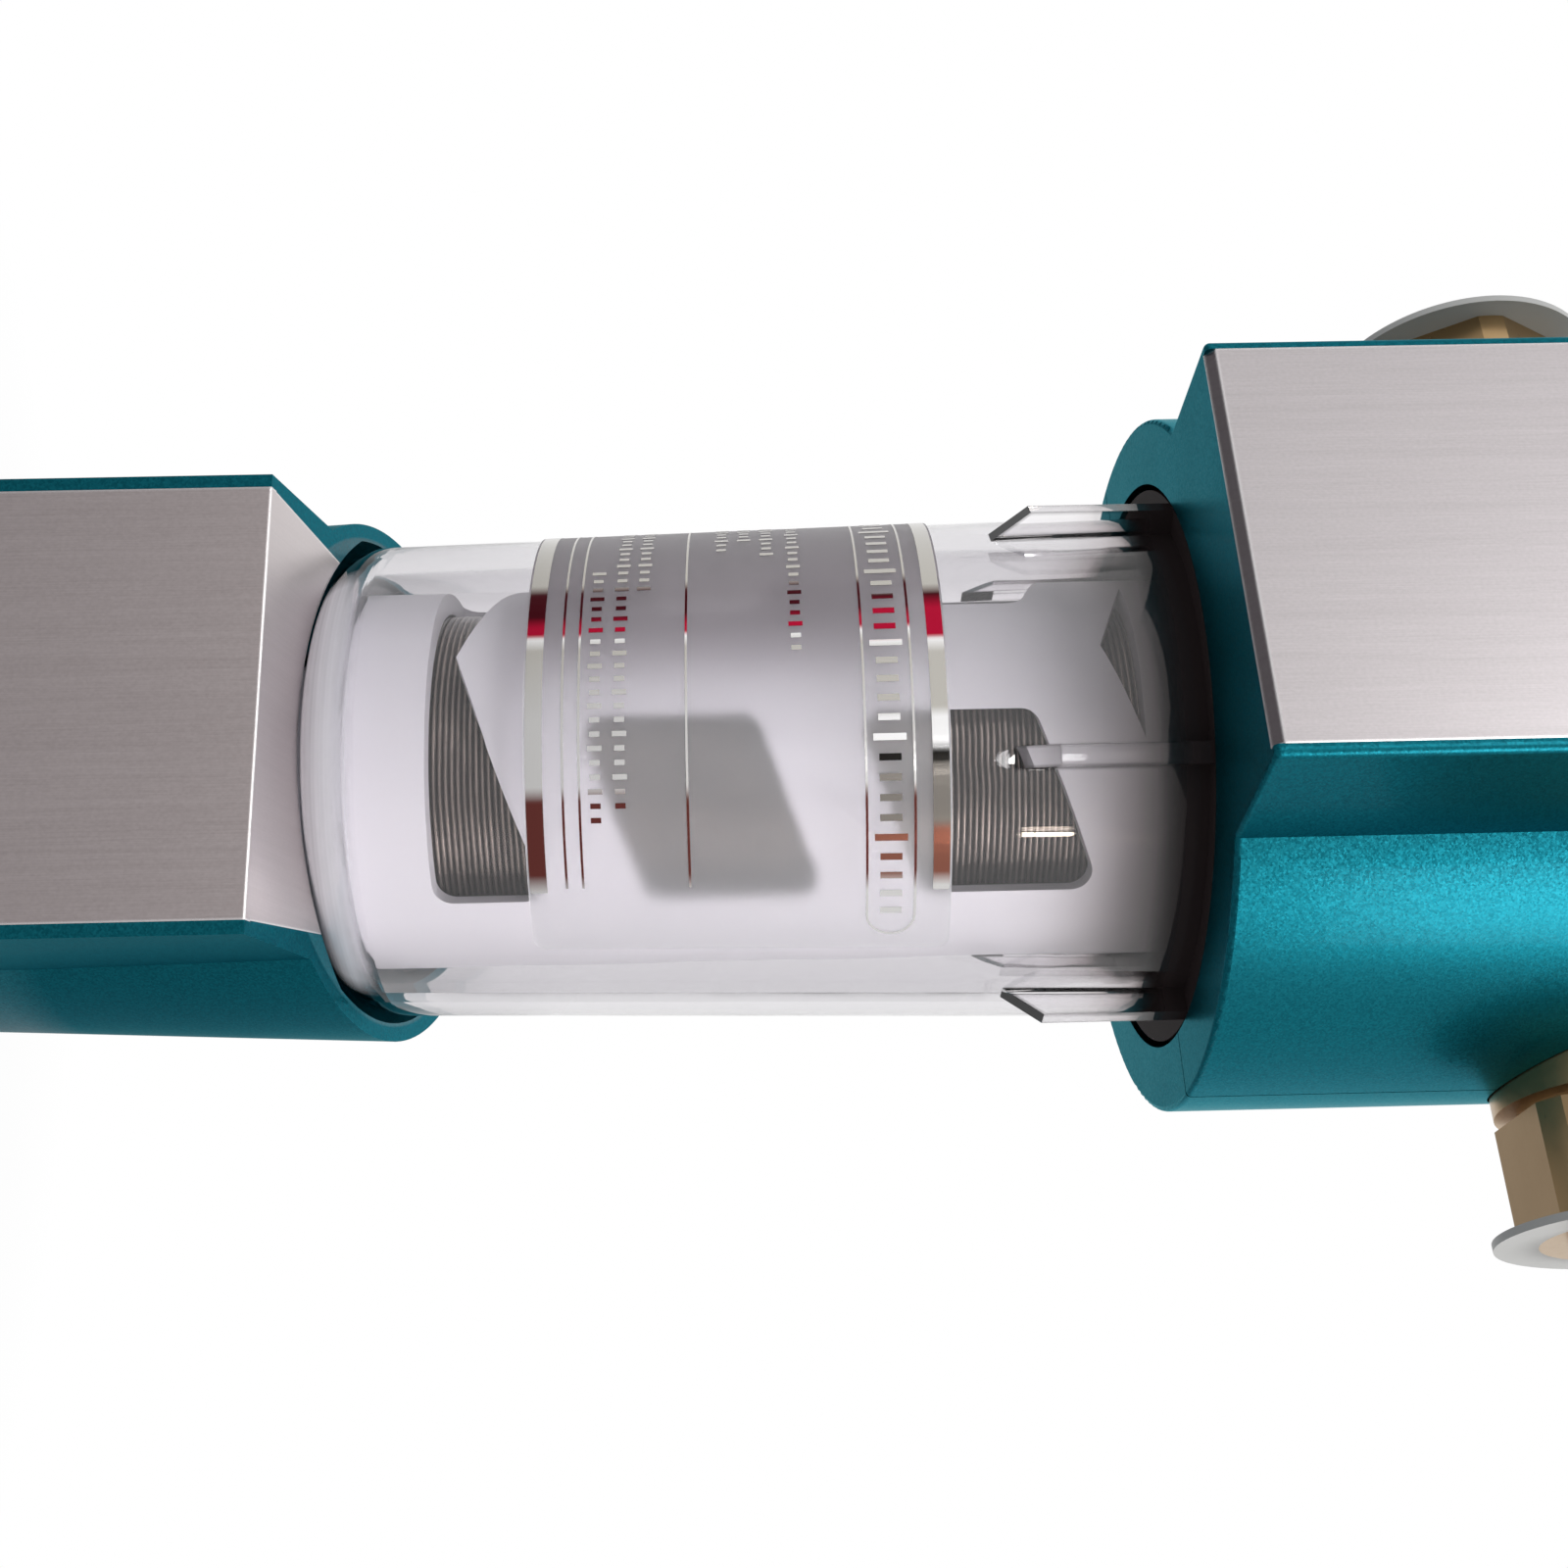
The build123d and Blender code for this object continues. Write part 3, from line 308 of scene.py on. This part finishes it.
def clear_plastic():
    """Clear moulded plastic, with painted light on the front of its foot, and painted shade towards the head, at its
    edges and where it is seen at a slant.
    """
    material, tree = new_material("clear_cup")
    height = height_in_mm(tree)
    slant = add_node(tree, "ShaderNodeLayerWeight", Blend=0.5)
    # Painted shade: darker where the cup is seen at a slant, and towards the head.
    slant_shade = two_colors(tree, spread(tree, slant.outputs["Facing"], 0.0, 1.0, 0.22, 0.5), (1, 1, 1), SLANT_TINT)
    body = multiply_colors(tree, ramp_colors(tree, height, HEAD_SHADE_STOPS), slant_shade)
    rounded = add_node(tree, "ShaderNodeBevel", {"samples": 4}, Radius=0.001)
    geometry = add_node(tree, "ShaderNodeNewGeometry")
    turn = add_node(tree, "ShaderNodeVectorMath", {"operation": "DOT_PRODUCT"})
    wire(tree, rounded.outputs["Normal"], turn.inputs[0])
    wire(tree, geometry.outputs["Normal"], turn.inputs[1])
    # Painted shade: the rounded edges are tinted near black.
    tint = add_node(tree, "ShaderNodeMix", {"data_type": "RGBA"})
    wire(tree, spread(tree, turn.outputs["Value"], 1.0, 0.0, 0.80, 0.97), tint.inputs["Factor"])
    wire(tree, body, tint.inputs[6])
    tint.inputs[7].default_value = (*EDGE_SHADE, 1)
    shader = add_node(tree, "ShaderNodeBsdfPrincipled", Roughness=0.02, IOR=1.5, Transmission_Weight=1.0)
    wire(tree, tint.outputs[2], shader.inputs["Base Color"])
    ripple = noise(tree, object_coords(tree, (90, 90, 40)), 2.0)
    wire(tree, bump(tree, ripple, 0.06, 0.0003), shader.inputs["Normal"])
    # Painted light: a pale diffuse patch, in thin rings, on the front of the foot.
    pale_diffuse = add_node(tree, "ShaderNodeBsdfDiffuse", Color=(0.88, 0.87, 0.91, 1))
    rings = spread(tree, noise(tree, object_coords(tree, (0, 0, 900)), 1.0), 0.72, 1.0, 0.35, 0.65)
    aside = combine(tree, "ABSOLUTE", combine(tree, "SUBTRACT", angle_in_degrees(tree), FOOT_MIDDLE), 0)
    front = spread(tree, aside, 1.0, 0.0, FOOT_REACH, FOOT_REACH + 8)
    foot = combine(tree, "MULTIPLY", spread(tree, height, 0.95, 0.0, 107.5, 111.5), rings)
    footed = add_node(tree, "ShaderNodeMixShader")
    wire(tree, combine(tree, "MULTIPLY", foot, front), footed.inputs["Fac"])
    wire(tree, shader.outputs["BSDF"], footed.inputs[1])
    wire(tree, pale_diffuse.outputs["BSDF"], footed.inputs[2])
    # Painted shade: a dark brown diffuse replaces the clear plastic just below the head.
    brown = add_node(tree, "ShaderNodeBsdfDiffuse", Color=(0.045, 0.034, 0.034, 1))
    shaded_near_head = add_node(tree, "ShaderNodeMixShader")
    wire(tree, spread(tree, height, 0.0, 0.90, 228.5, 232.5), shaded_near_head.inputs["Fac"])
    wire(tree, footed.outputs["Shader"], shaded_near_head.inputs[1])
    wire(tree, brown.outputs["BSDF"], shaded_near_head.inputs[2])
    finish_material(tree, pass_shadows(tree, shaded_near_head.outputs["Shader"], tint.outputs[2]))
    return material


# Painted shade: the film is darker at negative angles round the cup.
FILM_SHADE_STOPS = (
    (-90, (0.52, 0.485, 0.505)), (-16, (0.60, 0.565, 0.585)), (8, (0.985, 0.98, 0.99)), (90, (0.985, 0.98, 0.99)),
)


def frosted_film():
    """Frosted film: it blurs what is behind it, turns milky where it is seen at a slant, and carries painted shade
    on the side at negative angles.
    """
    material, tree = new_material("label_film")
    tint = ramp_colors(tree, angle_in_degrees(tree), FILM_SHADE_STOPS)
    shader = add_node(
        tree, "ShaderNodeBsdfPrincipled", Roughness=0.34, IOR=1.5, Transmission_Weight=1.0, Specular_IOR_Level=0.2
    )
    wire(tree, tint, shader.inputs["Base Color"])
    mottle = noise(tree, object_coords(tree, (500, 500, 500)), 3.0)
    wire(tree, bump(tree, mottle, 0.1, 0.00005), shader.inputs["Normal"])
    pale_diffuse = add_node(tree, "ShaderNodeBsdfDiffuse")
    cloudy = two_colors(tree, mottle, (0.76, 0.75, 0.77), (0.84, 0.83, 0.85))
    wire(tree, multiply_colors(tree, cloudy, tint), pale_diffuse.inputs["Color"])
    slant = add_node(tree, "ShaderNodeLayerWeight", Blend=0.35)
    rounded = add_node(tree, "ShaderNodeBevel", {"samples": 4}, Radius=0.0005)
    geometry = add_node(tree, "ShaderNodeNewGeometry")
    turn = add_node(tree, "ShaderNodeVectorMath", {"operation": "DOT_PRODUCT"})
    wire(tree, rounded.outputs["Normal"], turn.inputs[0])
    wire(tree, geometry.outputs["Normal"], turn.inputs[1])
    border = spread(tree, turn.outputs["Value"], 0.75, 0.0, 0.90, 0.99)
    share = combine(tree, "MAXIMUM", spread(tree, slant.outputs["Facing"], 0.08, 0.38), border)
    frosted = add_node(tree, "ShaderNodeMixShader")
    wire(tree, share, frosted.inputs["Fac"])
    wire(tree, shader.outputs["BSDF"], frosted.inputs[1])
    wire(tree, pale_diffuse.outputs["BSDF"], frosted.inputs[2])
    finish_material(tree, pass_shadows(tree, frosted.outputs["Shader"], tint))
    return material


def screen_steel():
    """Wire with painted shade in the gaps between its turns and painted glints along them."""
    material, tree = new_material("screen_steel")
    shader = add_node(tree, "ShaderNodeBsdfPrincipled", Metallic=0.9, Roughness=0.26)
    turns = combine(tree, "DIVIDE", combine(tree, "SUBTRACT", height_in_mm(tree), SCREEN_LOW_Z), WIRE_PITCH)
    # Painted shade in the gaps and a painted highlight on each crest, broken into painted glints.
    ridge = combine(tree, "ABSOLUTE", combine(tree, "SINE", combine(tree, "MULTIPLY", turns, pi), 0), 0)
    crest = combine(tree, "POWER", ridge, 2.5)
    glints = spread(tree, noise(tree, object_coords(tree, (130, 130, 700)), 2.0), 0.55, 1.0, 0.35, 0.65)
    shine = combine(tree, "MULTIPLY", crest, glints)
    wire(tree, two_colors(tree, shine, (0.006, 0.004, 0.004), (0.25, 0.21, 0.185)), shader.inputs["Base Color"])
    finish_material(tree, shader.outputs["BSDF"])
    return material


def foil(name, stops):
    """Mirror foil of the label's print, coloured by stops of degrees round the cup."""
    material, tree = new_material(name)
    shader = add_node(tree, "ShaderNodeBsdfPrincipled", Metallic=1.0, Roughness=0.2)
    wire(tree, ramp_colors(tree, angle_in_degrees(tree), stops), shader.inputs["Base Color"])
    finish_material(tree, shader.outputs["BSDF"])
    return material


SILVER = (0.62, 0.61, 0.60)
BRIGHT = (0.88, 0.87, 0.87)
WARM_SILVER = (0.50, 0.48, 0.44)
DARK_RED = (0.055, 0.004, 0.008)
RED = (0.42, 0.008, 0.035)
BROWN = (0.13, 0.035, 0.030)
COPPER = (0.22, 0.085, 0.060)
GREY = (0.22, 0.20, 0.18)
BLACK = (0.012, 0.011, 0.010)
LOW_STOPS = (
    (-80, SILVER), (-20, WARM_SILVER), (-17, DARK_RED), (-10, DARK_RED), (-7, RED), (-5, RED), (-4, BRIGHT),
    (-1, WARM_SILVER), (15, SILVER), (29, SILVER), (32, BROWN), (48, BROWN), (52, SILVER),
)
HIGH_STOPS = (
    (-80, SILVER), (-16, WARM_SILVER), (-13, DARK_RED), (-9, RED), (-2, RED), (-1, BRIGHT), (2, WARM_SILVER),
    (14, WARM_SILVER), (16, BRIGHT), (21, BRIGHT), (23, BLACK), (25, BLACK), (27, GREY), (37, GREY), (39, COPPER),
    (48, COPPER), (51, SILVER),
)


teal = teal_paint()
brass = plain_material("brass", (0.38, 0.25, 0.12), (0.50, 0.34, 0.18), 0.3, metallic=1.0, scale=900)
pale = plain_material("pale_plastic", (0.50, 0.50, 0.48), (0.60, 0.60, 0.58), 0.45)
dark = plain_material("socket_plastic", (0.018, 0.015, 0.016), (0.028, 0.024, 0.025), 0.35)
white = plain_material("cage_white", (0.80, 0.793, 0.815), (0.85, 0.843, 0.865), 0.4)
rubber = plain_material("rubber", (0.012, 0.012, 0.012), (0.02, 0.02, 0.02), 0.6)
steel = plain_material("satin_steel", (0.42, 0.42, 0.43), (0.55, 0.55, 0.56), 0.32, metallic=1.0, scale=700)
sleeve = plain_material("lever_sleeve", (0.02, 0.09, 0.10), (0.03, 0.12, 0.13), 0.5)
clear = clear_plastic()
film = frosted_film()
head_silver = brushed_metal("head_plate", (0.395, 0.365, 0.37), (0.525, 0.49, 0.50), 0.0, 0.36)
base_silver = brushed_metal("base_plate", (0.40, 0.345, 0.34), (0.54, 0.48, 0.475), BASE_TURN, 0.34)
screen_metal = screen_steel()
low_foil = foil("low_stripe_foil", LOW_STOPS)
high_foil = foil("high_stripe_foil", HIGH_STOPS)

DRESS = {
    "head_front_shell": teal,
    "head_rear_shell": teal,
    "base_shell": teal,
    "head_front_plate": head_silver,
    "base_front_plate": base_silver,
    "cup_socket": dark,
    "pipe_tee": brass,
    "inlet_nut": brass,
    "outlet_nut": brass,
    "inlet_tail": brass,
    "outlet_tail": brass,
    "valve_body": brass,
    "drain_spout": brass,
    "inlet_nut_ring": pale,
    "outlet_nut_ring": pale,
    "cup": clear,
    "filter_cage": white,
    "screen_lower_cap": white,
    "screen_upper_cap": white,
    "label": film,
    "valve_upper_seat": white,
    "valve_lower_seat": white,
    "valve_ball": steel,
    "valve_stem": steel,
    "drain_lever": steel,
    "lever_nut": steel,
    "head_screws": steel,
    "lever_grip": sleeve,
}
for name, node in nodes.items():
    node.data.materials.clear()
    node.data.materials.append(DRESS.get(name, rubber))


# Mesh helpers

def mesh_piece(name, verts, faces, material, body="filter", smooth=True):
    """A mesh given in millimetres that rides on a body."""
    mesh = bpy.data.meshes.new(name)
    mesh.from_pydata([Vector(v) * MM for v in verts], [], faces)
    mesh.materials.append(material)
    for polygon in mesh.polygons:
        polygon.use_smooth = smooth
    piece = bpy.data.objects.new(name, mesh)
    bpy.context.scene.collection.objects.link(piece)
    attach(piece, body)
    return piece


def on_cup(angle, z, lift):
    """A point at an angle and height, lifted off the cup's wall."""
    r = cup_radius(z) + lift
    across = radians(angle)
    return (r * sin(across), -r * cos(across), z)


def film_strips(name, strips, material, low, high):
    """Closed thin strips on the label, each a list of (angle, z) edge pairs, from lift low to high."""
    verts = []
    faces = []
    for strip in strips:
        start = len(verts)
        for (angle_a, z_a), (angle_b, z_b) in strip:
            verts += [on_cup(angle_a, z_a, low), on_cup(angle_b, z_b, low)]
            verts += [on_cup(angle_b, z_b, high), on_cup(angle_a, z_a, high)]
        for step in range(len(strip) - 1):
            here = start + 4 * step
            for side in range(4):
                other = (side + 1) % 4
                faces.append((here + side, here + other, here + 4 + other, here + 4 + side))
        end = start + 4 * (len(strip) - 1)
        faces.append((start + 3, start + 2, start + 1, start))
        faces.append((end, end + 1, end + 2, end + 3))
    return mesh_piece(name, verts, faces, material, smooth=False)


def round_strip(z_low, z_high, angle_from, angle_to, step=2.0):
    """A strip round the cup between two heights."""
    count = max(1, int(abs(angle_to - angle_from) / step))
    angles = [angle_from + (angle_to - angle_from) * turn / count for turn in range(count + 1)]
    return [((angle, z_low), (angle, z_high)) for angle in angles]


def line_strip(points, width):
    """A strip of even width that follows (angle, z) points laid flat on the cup."""
    mid_r = cup_radius(165)
    flat = [Vector((radians(angle) * mid_r, z)) for angle, z in points]
    strip = []
    for index, point in enumerate(flat):
        before = flat[max(index - 1, 0)]
        after = flat[min(index + 1, len(flat) - 1)]
        along = (after - before).normalized()
        across = Vector((-along.y, along.x)) * width / 2
        pair = []
        for edge in (point - across, point + across):
            pair.append((edge.x / mid_r * 180 / pi, edge.y))
        strip.append(tuple(pair))
    return strip


# Fine wire screen
ROUND_STEPS = 144


def wire_screen():
    """A tube wound from round wire, with its inner wall left plain."""
    profile = []
    turns = int((SCREEN_HIGH_Z - SCREEN_LOW_Z) / WIRE_PITCH)
    for turn in range(turns):
        z = SCREEN_LOW_Z + (turn + 0.5) * WIRE_PITCH
        profile.append((SCREEN_R - WIRE_R, z - WIRE_PITCH / 2))
        profile.append((SCREEN_R - 0.25 * WIRE_R, z - 0.8 * WIRE_R))
        profile.append((SCREEN_R, z))
        profile.append((SCREEN_R - 0.25 * WIRE_R, z + 0.8 * WIRE_R))
    profile.append((SCREEN_R - WIRE_R, SCREEN_HIGH_Z))
    profile.append((SCREEN_R - 1.6, SCREEN_HIGH_Z))
    profile.append((SCREEN_R - 1.6, SCREEN_LOW_Z))
    verts = []
    for step in range(ROUND_STEPS):
        across = 2 * pi * step / ROUND_STEPS
        verts += [(r * cos(across), r * sin(across), z) for r, z in profile]
    size = len(profile)
    faces = []
    for step in range(ROUND_STEPS):
        here = step * size
        there = (step + 1) % ROUND_STEPS * size
        for point in range(size):
            after = (point + 1) % size
            faces.append((here + point, there + point, there + after, here + after))
    piece = mesh_piece("wire_screen", verts, faces, screen_metal)
    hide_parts("screen")
    return piece


wire_screen()

# Label print: foil stripes, thin lines and a pill outline with plain ticks
FOIL_LOW = LABEL_OUT + 0.01
FOIL_HIGH = LABEL_OUT + 0.05
film_strips("low_stripe", [round_strip(136.9, 139.4, -66, 52)], low_foil, FOIL_LOW, FOIL_HIGH)
film_strips("high_stripe", [round_strip(195.7, 198.1, -66, 52)], high_foil, FOIL_LOW, FOIL_HIGH)

lines = [
    line_strip([(angle, 142.3) for angle in range(-66, 52, 3)], 0.35),
    line_strip([(angle, 144.7) for angle in range(-66, 52, 3)], 0.35),
    line_strip([(angle, 160.3) for angle in range(-66, 52, 3)], 0.35),
]
PILL_LOW = 186.1
PILL_HIGH = 193.1
PILL_END = 58.0
pill = [(angle, PILL_LOW) for angle in range(-66, int(PILL_END), 3)]
pill_r = (PILL_HIGH - PILL_LOW) / 2
for turn in range(13):
    swing = -pi / 2 + pi * turn / 12
    angle = PILL_END + pill_r * cos(swing) / cup_radius(190) * 180 / pi
    pill.append((angle, (PILL_LOW + PILL_HIGH) / 2 + pill_r * sin(swing)))
pill += [(angle, PILL_HIGH) for angle in range(int(PILL_END) - 1, -66, -3)]
lines.append(line_strip(pill, 0.35))
film_strips("label_lines", lines, low_foil, FOIL_LOW, FOIL_HIGH)

ticks = []
for place in range(30):
    angle = -62 + 4.1 * place
    reach = 2.4 if place % 5 == 0 else 1.6
    middle = (PILL_LOW + PILL_HIGH) / 2
    ticks.append(line_strip([(angle, middle - reach), (angle, middle + reach)], 1.0))
film_strips("label_ticks", ticks, high_foil, FOIL_LOW, FOIL_HIGH)

ROWS = (
    (147.0, -24, 40), (150.6, -54, 36), (153.9, -54, -15), (165.5, -57, -30), (169.0, -57, -36), (172.5, -57, -27),
    (176.5, -51, 3),
)
rows = []
for z, angle_from, angle_to in ROWS:
    for place in range(int((angle_to - angle_from) / 3)):
        angle = angle_from + 3 * place
        reach = 0.75 if place % 3 else 1.05
        rows.append(line_strip([(angle, z - reach), (angle, z + reach)], 0.8))
film_strips("label_rows", rows, low_foil, FOIL_LOW, FOIL_HIGH)


# Floor, background and lights

def background_rays(tree):
    """Two shares: rays that see the background through air or clear plastic, and by reflection."""
    path = add_node(tree, "ShaderNodeLightPath")
    scattered = combine(tree, "MINIMUM", path.outputs["Diffuse Depth"], 1.0)
    unscattered = combine(tree, "SUBTRACT", 1.0, scattered)
    through = combine(tree, "MAXIMUM", path.outputs["Is Camera Ray"], path.outputs["Is Transmission Ray"])
    through = combine(tree, "MULTIPLY", through, unscattered)
    reflected = combine(tree, "MULTIPLY", path.outputs["Is Glossy Ray"], unscattered)
    return through, reflected


def pale_floor():
    """White behind the part, with the part's shadow kept near it."""
    material, tree = new_material("floor_white")
    matte = add_node(tree, "ShaderNodeBsdfDiffuse", Color=(0.38, 0.38, 0.39, 1))
    glow = add_node(tree, "ShaderNodeEmission", Strength=1.0)
    coords = add_node(tree, "ShaderNodeTexCoord")
    reach = add_node(tree, "ShaderNodeVectorMath", {"operation": "LENGTH"})
    wire(tree, coords.outputs["Object"], reach.inputs[0])
    through, reflected = background_rays(tree)
    near_white = spread(tree, reach.outputs["Value"], 0.86, 1.0, 0.20, 0.55)
    far_white = spread(tree, reach.outputs["Value"], 0.15, 1.0, 0.7, 2.4)
    seen = combine(tree, "MULTIPLY", through, near_white)
    mirrored = combine(tree, "MULTIPLY", reflected, far_white)
    mix = add_node(tree, "ShaderNodeMixShader")
    wire(tree, combine(tree, "MAXIMUM", seen, mirrored), mix.inputs["Fac"])
    wire(tree, matte.outputs["BSDF"], mix.inputs[1])
    wire(tree, glow.outputs["Emission"], mix.inputs[2])
    finish_material(tree, mix.outputs["Shader"])
    return material


floor_mesh = bpy.data.meshes.new("floor")
side = 8.0
floor_mesh.from_pydata([(-side, -side, 0), (side, -side, 0), (side, side, 0), (-side, side, 0)], [], [(0, 1, 2, 3)])
floor_mesh.materials.append(pale_floor())
floor = bpy.data.objects.new("floor", floor_mesh)
floor.location = (0, 0, -0.16)
bpy.context.scene.collection.objects.link(floor)

world = bpy.data.worlds.new("studio")
bpy.context.scene.world = world
world.use_nodes = True
tree = world.node_tree
tree.nodes.clear()
through, reflected = background_rays(tree)
room = add_node(tree, "ShaderNodeBackground", Color=(0.96, 0.97, 1.0, 1), Strength=0.5)
shown = add_node(tree, "ShaderNodeBackground", Color=(1, 1, 1, 1), Strength=1.0)
mix = add_node(tree, "ShaderNodeMixShader")
wire(tree, combine(tree, "MAXIMUM", through, reflected), mix.inputs["Fac"])
wire(tree, room.outputs["Background"], mix.inputs[1])
wire(tree, shown.outputs["Background"], mix.inputs[2])
output = add_node(tree, "ShaderNodeOutputWorld")
wire(tree, mix.outputs["Shader"], output.inputs["Surface"])


def softbox(name, place, target, size, power, color=(1, 1, 1), height=None):
    """An area lamp that faces a target, square where no height is given."""
    lamp = bpy.data.lights.new(name, "AREA")
    lamp.shape = "RECTANGLE"
    lamp.size = size
    lamp.size_y = height or size
    lamp.energy = power
    lamp.color = color
    holder = bpy.data.objects.new(name, lamp)
    bpy.context.scene.collection.objects.link(holder)
    holder.location = place
    facing = Vector(target) - Vector(place)
    holder.rotation_euler = facing.to_track_quat("-Z", "Y").to_euler()


middle = (0, 0, 0.18)
softbox("key", (-0.05, -1.0, 0.95), middle, 0.6, 5.2)
softbox("side", (0.95, -0.31, 0.82), middle, 0.5, 6.0)
softbox("top", (0.1, 0.3, 1.3), middle, 0.6, 2.5)
softbox("warm", (0.847, -0.589, 0.333), (0.026, -0.031, 0.212), 0.035, 0.2, (1.0, 0.86, 0.70))

softbox("fin_glint", (0.473, -1.136, 0.338), (0.0186, -0.0399, 0.207), 0.10, 0.42, height=0.037)

# Camera at the photo's place, rolled so that the cup axis lies level in the picture
camera_data = bpy.data.cameras.new("camera")
camera_data.sensor_width = 36.0
camera_data.lens = 39.59
camera = bpy.data.objects.new("camera", camera_data)
bpy.context.scene.collection.objects.link(camera)
right = Vector((0.0255, -0.0039, 0.9997)).normalized()
forward = Vector((-0.4502, 0.8928, 0.0150)).normalized()
up = right.cross(forward).normalized()
place = Vector((0.1314, -0.2569, 0.1705))
camera.matrix_world = Matrix((
    (right.x, up.x, -forward.x, place.x),
    (right.y, up.y, -forward.y, place.y),
    (right.z, up.z, -forward.z, place.z),
    (0, 0, 0, 1),
))
bpy.context.scene.camera = camera
bpy.context.scene.view_settings.view_transform = "Standard"
